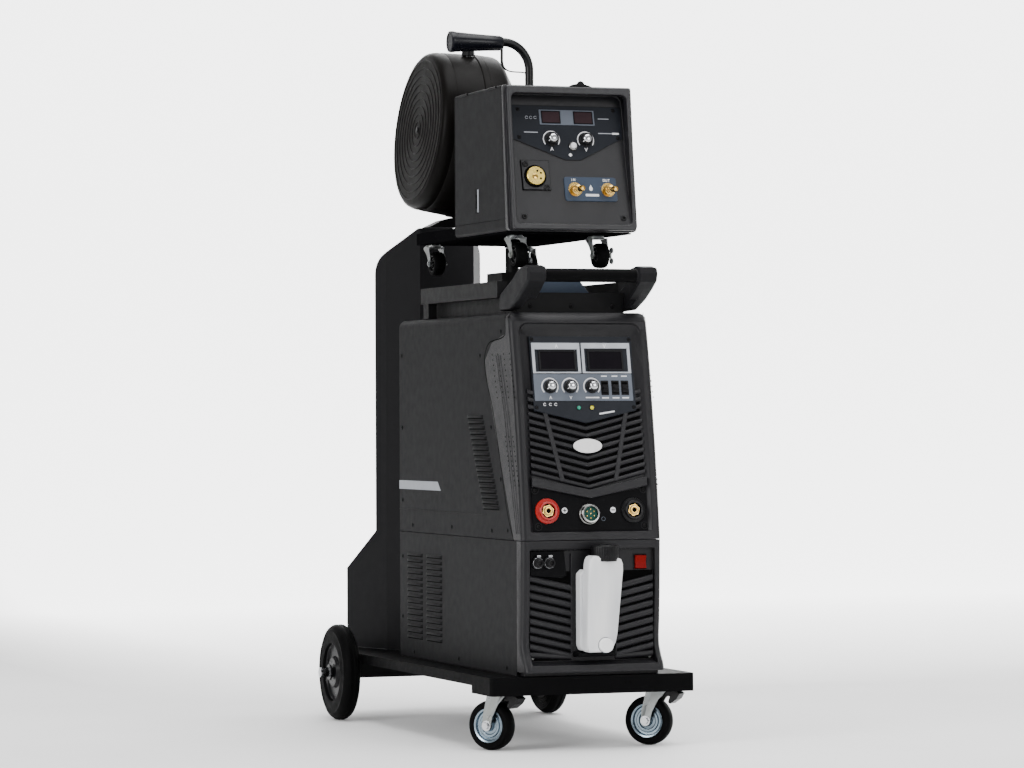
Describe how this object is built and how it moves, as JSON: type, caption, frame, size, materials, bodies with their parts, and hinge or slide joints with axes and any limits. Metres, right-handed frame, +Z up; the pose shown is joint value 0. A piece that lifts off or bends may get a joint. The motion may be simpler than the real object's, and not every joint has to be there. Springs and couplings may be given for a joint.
{
  "type": "mig welder on cart",
  "caption": "Wheeled cart with a MIG power source over a water cooler and a swivelling wire feeder with a round spool cover on top.",
  "frame": {"origin": "centre of the footprint box at floor level", "axes": "+Z up, -Y towards the front panel with the controls, +X to the right as seen from the front"},
  "size_m": [0.562, 1.1458, 1.428],
  "materials": {
    "coat_grey": "charcoal powder coat",
    "coat_dark": "black powder coat",
    "moulding": "grained black moulding",
    "plastic_black": "satin black plastic",
    "rubber": "matt black rubber",
    "zinc": "zinc plated",
    "steel": "bright",
    "fins": "finned aluminium",
    "brass": "machined",
    "silver_panel": "satin silver film",
    "tank_plastic": "milky polyethylene",
    "red_plastic": "red plastic",
    "copper": "copper coated wire"
  },
  "bodies": {
    "cart": {"deck_frame": "coat_dark", "rear_axle": "coat_dark", "bottle_cradle": "coat_grey", "cooler_cover": "coat_grey", "cooler_bezel": "moulding", "coolant_tank": "tank_plastic", "coolant_couplings": "plastic_black", "radiator": "fins", "coolant_pump": "zinc", "power_source_cover": "coat_grey", "power_source_chassis": "zinc", "power_source_bezel": "moulding", "control_panel": "silver_panel", "positive_socket": "red_plastic", "negative_socket": "plastic_black", "transformer": "copper", "carrier_tray": "coat_dark", "push_handle": "plastic_black"},
    "feeder": {"feeder_base": "coat_dark", "feeder_cover": "coat_grey", "feeder_bezel": "moulding", "euro_socket": "brass", "water_fittings": "brass", "wire_drive": "zinc", "spool_post": "plastic_black", "feeder_handle": "plastic_black"},
    "rear_wheel_left_body": {"rear_wheel_left": "rubber"},
    "rear_wheel_right_body": {"rear_wheel_right": "rubber"},
    "caster_left_fork_body": {"caster_left_fork": "zinc"},
    "caster_right_fork_body": {"caster_right_fork": "zinc"},
    "caster_left_wheel_body": {"caster_left_wheel": "rubber"},
    "caster_right_wheel_body": {"caster_right_wheel": "rubber"},
    "caster_left_pedal_body": {"caster_left_pedal": "plastic_black"},
    "caster_right_pedal_body": {"caster_right_pedal": "plastic_black"},
    "tank_cap_body": {"tank_cap": "plastic_black"},
    "drain_cap_body": {"drain_cap": "tank_plastic"},
    "pump_switch_body": {"pump_switch": "red_plastic"},
    "current_knob_body": {"current_knob": "steel"},
    "voltage_knob_body": {"voltage_knob": "steel"},
    "arc_force_knob_body": {"arc_force_knob": "steel"},
    "mode_switch_body": {"mode_switch": "plastic_black"},
    "gas_switch_body": {"gas_switch": "plastic_black"},
    "lock_switch_body": {"lock_switch": "plastic_black"},
    "cooling_fan_body": {"cooling_fan": "plastic_black"},
    "feeder_door_body": {"feeder_door": "coat_grey"},
    "feeder_current_knob_body": {"feeder_current_knob": "steel"},
    "feeder_voltage_knob_body": {"feeder_voltage_knob": "steel"},
    "purge_button_body": {"purge_button": "tank_plastic"},
    "drive_roll_body": {"drive_roll": "steel"},
    "pressure_arm_body": {"pressure_arm": "plastic_black"},
    "spool_cover_body": {"spool_cover": "plastic_black"},
    "wire_spool_body": {"wire_spool": "copper"},
    "feeder_caster_front_left_fork_body": {"feeder_caster_front_left_fork": "zinc"},
    "feeder_caster_front_left_wheel_body": {"feeder_caster_front_left_wheel": "rubber"},
    "feeder_caster_front_right_fork_body": {"feeder_caster_front_right_fork": "zinc"},
    "feeder_caster_front_right_wheel_body": {"feeder_caster_front_right_wheel": "rubber"},
    "feeder_caster_rear_left_fork_body": {"feeder_caster_rear_left_fork": "zinc"},
    "feeder_caster_rear_left_wheel_body": {"feeder_caster_rear_left_wheel": "rubber"},
    "feeder_caster_rear_right_fork_body": {"feeder_caster_rear_right_fork": "zinc"},
    "feeder_caster_rear_right_wheel_body": {"feeder_caster_rear_right_wheel": "rubber"}
  },
  "joints": [
    {"name": "rear_wheel_left_spin", "type": "hinge", "parent": "cart", "child": "rear_wheel_left_body", "pos_m": [-0.237, 0.3699, 0.1015], "axis": [1, 0, 0], "continuous": true},
    {"name": "rear_wheel_right_spin", "type": "hinge", "parent": "cart", "child": "rear_wheel_right_body", "pos_m": [0.237, 0.3699, 0.1015], "axis": [1, 0, 0], "continuous": true},
    {"name": "caster_left_swivel", "type": "hinge", "parent": "cart", "child": "caster_left_fork_body", "pos_m": [-0.165, -0.4781, 0.118], "axis": [0, 0, 1], "continuous": true},
    {"name": "caster_left_spin", "type": "hinge", "parent": "caster_left_fork_body", "child": "caster_left_wheel_body", "pos_m": [-0.1844, -0.4514, 0.048], "axis": [0.809, 0.5878, 0], "continuous": true},
    {"name": "caster_left_brake", "type": "hinge", "parent": "caster_left_fork_body", "child": "caster_left_pedal_body", "pos_m": [-0.16618, -0.47648, 0.101], "axis": [0.809, 0.5878, 0], "range_deg": [0, 12]},
    {"name": "caster_right_swivel", "type": "hinge", "parent": "cart", "child": "caster_right_fork_body", "pos_m": [0.165, -0.4781, 0.118], "axis": [0, 0, 1], "continuous": true},
    {"name": "caster_right_spin", "type": "hinge", "parent": "caster_right_fork_body", "child": "caster_right_wheel_body", "pos_m": [0.14167, -0.45476, 0.048], "axis": [0.7071, 0.7071, 0], "continuous": true},
    {"name": "caster_right_brake", "type": "hinge", "parent": "caster_right_fork_body", "child": "caster_right_pedal_body", "pos_m": [0.16359, -0.47669, 0.101], "axis": [0.7071, 0.7071, 0], "range_deg": [0, 12]},
    {"name": "tank_cap_twist", "type": "hinge", "parent": "cart", "child": "tank_cap_body", "pos_m": [0.0155, -0.5439, 0.3644], "axis": [0, 0, 1], "range_deg": [0, 180]},
    {"name": "drain_cap_twist", "type": "hinge", "parent": "cart", "child": "drain_cap_body", "pos_m": [0.008, -0.5634, 0.204], "axis": [0, -1, 0], "range_deg": [0, 180]},
    {"name": "pump_switch_rock", "type": "hinge", "parent": "cart", "child": "pump_switch_body", "pos_m": [0.103, -0.5051, 0.361], "axis": [1, 0, 0], "range_deg": [-9, 9]},
    {"name": "current_knob_turn", "type": "hinge", "parent": "cart", "child": "current_knob_body", "pos_m": [-0.071, -0.47435, 0.70172], "axis": [0, -0.9806, 0.1959], "range_deg": [-135, 135]},
    {"name": "voltage_knob_turn", "type": "hinge", "parent": "cart", "child": "voltage_knob_body", "pos_m": [-0.029, -0.47435, 0.70172], "axis": [0, -0.9806, 0.1959], "range_deg": [-135, 135]},
    {"name": "arc_force_knob_turn", "type": "hinge", "parent": "cart", "child": "arc_force_knob_body", "pos_m": [0.016, -0.47435, 0.70172], "axis": [0, -0.9806, 0.1959], "range_deg": [-135, 135]},
    {"name": "mode_switch_travel", "type": "slide", "parent": "cart", "child": "mode_switch_body", "axis": [0, 0.1959, 0.9806], "range_m": [0, 0.004]},
    {"name": "gas_switch_travel", "type": "slide", "parent": "cart", "child": "gas_switch_body", "axis": [0, 0.1959, 0.9806], "range_m": [0, 0.004]},
    {"name": "lock_switch_travel", "type": "slide", "parent": "cart", "child": "lock_switch_body", "axis": [0, 0.1959, 0.9806], "range_m": [0, 0.004]},
    {"name": "cooling_fan_spin", "type": "hinge", "parent": "cart", "child": "cooling_fan_body", "pos_m": [0, 0.2099, 0.603], "axis": [0, 1, 0], "continuous": true},
    {"name": "feeder_swivel", "type": "hinge", "parent": "cart", "child": "feeder", "pos_m": [0, -0.0681, 1.003], "axis": [0, 0, 1], "range_deg": [-90, 90]},
    {"name": "feeder_door_swing", "type": "hinge", "parent": "feeder", "child": "feeder_door_body", "pos_m": [-0.1355, -0.2401, 1.291], "axis": [0, 1, 0], "range_deg": [0, 100]},
    {"name": "feeder_current_knob_turn", "type": "hinge", "parent": "feeder", "child": "feeder_current_knob_body", "pos_m": [-0.032, -0.38398, 1.18849], "axis": [0, -0.9703, 0.2419], "range_deg": [-135, 135]},
    {"name": "feeder_voltage_knob_turn", "type": "hinge", "parent": "feeder", "child": "feeder_voltage_knob_body", "pos_m": [0.04, -0.38398, 1.18849], "axis": [0, -0.9703, 0.2419], "range_deg": [-135, 135]},
    {"name": "purge_button_press", "type": "slide", "parent": "feeder", "child": "purge_button_body", "axis": [0, 0.9703, -0.2419], "range_m": [0, 0.003], "stiffness_N_per_m": 300},
    {"name": "wire_spool_turn", "type": "hinge", "parent": "feeder", "child": "wire_spool_body", "pos_m": [0, 0.1369, 1.229], "axis": [0.9945, 0, -0.1045], "continuous": true},
    {"name": "spool_cover_pull", "type": "slide", "parent": "feeder", "child": "spool_cover_body", "axis": [-0.9945, 0, 0.1045], "range_m": [0, 0.16]},
    {"name": "drive_roll_turn", "type": "hinge", "parent": "feeder", "child": "drive_roll_body", "pos_m": [-0.072, -0.2501, 1.098], "axis": [1, 0, 0], "continuous": true},
    {"name": "pressure_arm_lift", "type": "hinge", "parent": "feeder", "child": "pressure_arm_body", "pos_m": [-0.072, -0.2001, 1.14], "axis": [-1, 0, 0], "range_deg": [0, 60]},
    {"name": "feeder_caster_front_left_swivel", "type": "hinge", "parent": "feeder", "child": "feeder_caster_front_left_fork_body", "pos_m": [-0.086, -0.3211, 0.998], "axis": [0, 0, 1], "continuous": true},
    {"name": "feeder_caster_front_left_spin", "type": "hinge", "parent": "feeder_caster_front_left_fork_body", "child": "feeder_caster_front_left_wheel_body", "pos_m": [-0.086, -0.3431, 0.963], "axis": [1, 0, 0], "continuous": true},
    {"name": "feeder_caster_front_right_swivel", "type": "hinge", "parent": "feeder", "child": "feeder_caster_front_right_fork_body", "pos_m": [0.086, -0.3211, 0.998], "axis": [0, 0, 1], "continuous": true},
    {"name": "feeder_caster_front_right_spin", "type": "hinge", "parent": "feeder_caster_front_right_fork_body", "child": "feeder_caster_front_right_wheel_body", "pos_m": [0.086, -0.3431, 0.963], "axis": [1, 0, 0], "continuous": true},
    {"name": "feeder_caster_rear_left_swivel", "type": "hinge", "parent": "feeder", "child": "feeder_caster_rear_left_fork_body", "pos_m": [-0.102, 0.1319, 0.998], "axis": [0, 0, 1], "continuous": true},
    {"name": "feeder_caster_rear_left_spin", "type": "hinge", "parent": "feeder_caster_rear_left_fork_body", "child": "feeder_caster_rear_left_wheel_body", "pos_m": [-0.102, 0.1099, 0.963], "axis": [1, 0, 0], "continuous": true},
    {"name": "feeder_caster_rear_right_swivel", "type": "hinge", "parent": "feeder", "child": "feeder_caster_rear_right_fork_body", "pos_m": [0.102, 0.1319, 0.998], "axis": [0, 0, 1], "continuous": true},
    {"name": "feeder_caster_rear_right_spin", "type": "hinge", "parent": "feeder_caster_rear_right_fork_body", "child": "feeder_caster_rear_right_wheel_body", "pos_m": [0.102, 0.1099, 0.963], "axis": [1, 0, 0], "continuous": true}
  ]
}
